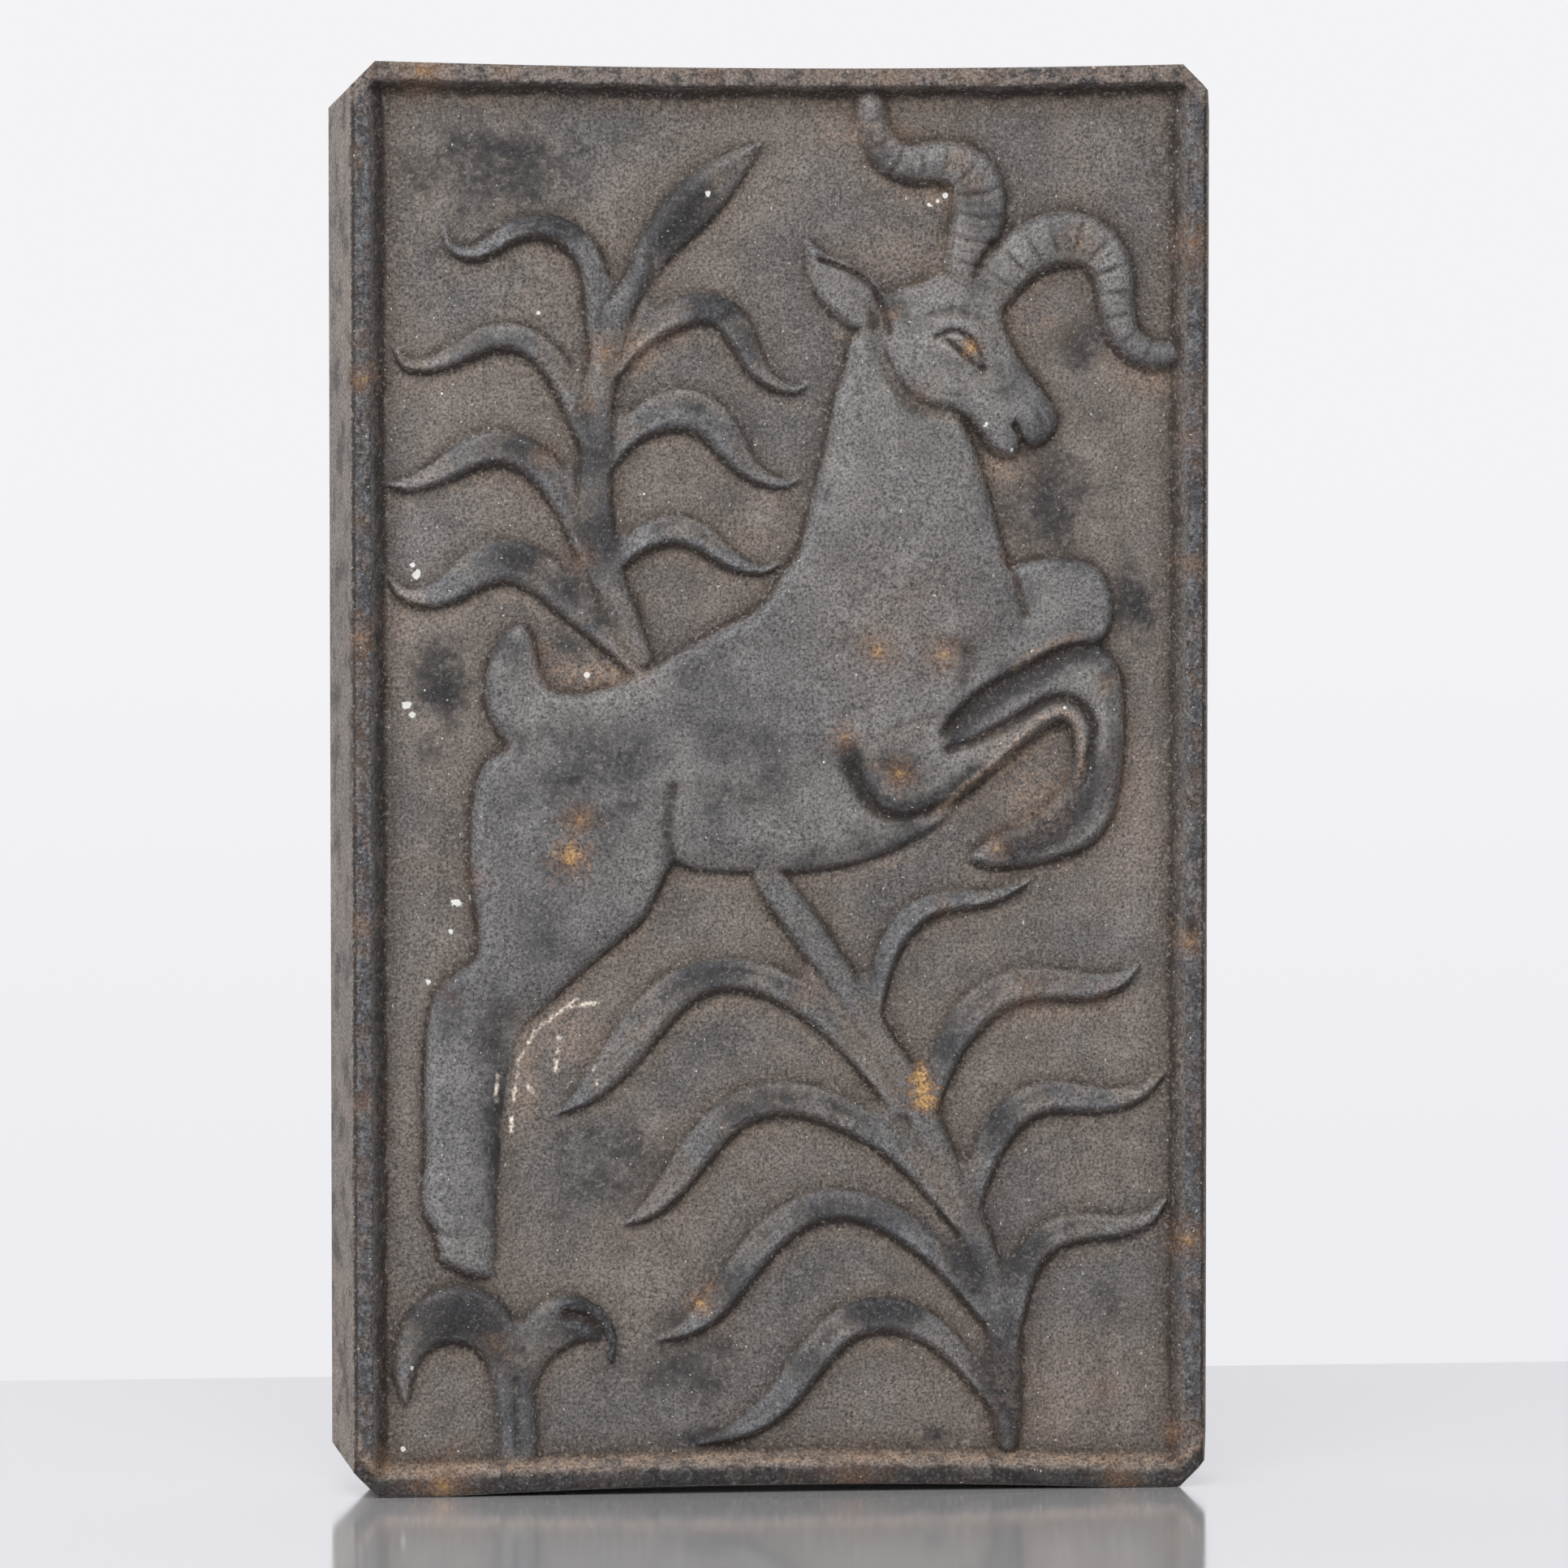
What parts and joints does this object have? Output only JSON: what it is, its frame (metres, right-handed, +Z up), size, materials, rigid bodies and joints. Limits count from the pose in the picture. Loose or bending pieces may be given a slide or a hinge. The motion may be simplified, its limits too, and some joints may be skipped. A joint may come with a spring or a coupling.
{
  "type": "cast iron relief plaque",
  "caption": "Upright rectangular cast iron relief plaque with a leaping ibex and leafy sprigs inside a raised rim, hollow behind, with a hinged wire bail on a rear hanger bar.",
  "frame": {"origin": "middle of the footprint: under the plaque, on the surface that its two foot lands stand on, at mid-width and mid-depth", "axes": "+Z up the plaque, -Y out of the relief towards the viewer, +Y to the wall, +X to the viewer's right"},
  "size_m": [0.25, 0.032, 0.4],
  "materials": {
    "sand_cast_iron": "fine sand-cast grain, waxed, dirt in the hollows, worn high points and small rust spots",
    "strap_steel": "black forge-scaled flat steel, rubbed at the edges",
    "fastener_steel": "dull plated steel with grey-brown tarnish",
    "bail_wire": "drawn steel wire, dull, rubbed bright where it turns",
    "pad_rubber": "matt black moulded rubber, dusty"
  },
  "bodies": {
    "plaque": {"plaque_casting": "sand_cast_iron", "hanger_bar": "strap_steel", "hanger_washers": "fastener_steel", "hanger_bolts": "fastener_steel", "bail_saddle": "strap_steel", "saddle_rivets": "fastener_steel", "wall_pads": "pad_rubber", "pad_screws": "fastener_steel"},
    "bail": {"hanging_bail": "bail_wire"}
  },
  "joints": [
    {"name": "bail_swing", "type": "hinge", "parent": "plaque", "child": "bail", "pos_m": [0, 0.0089, 0.33], "axis": [1, 0, 0], "range_deg": [0, 180]}
  ]
}
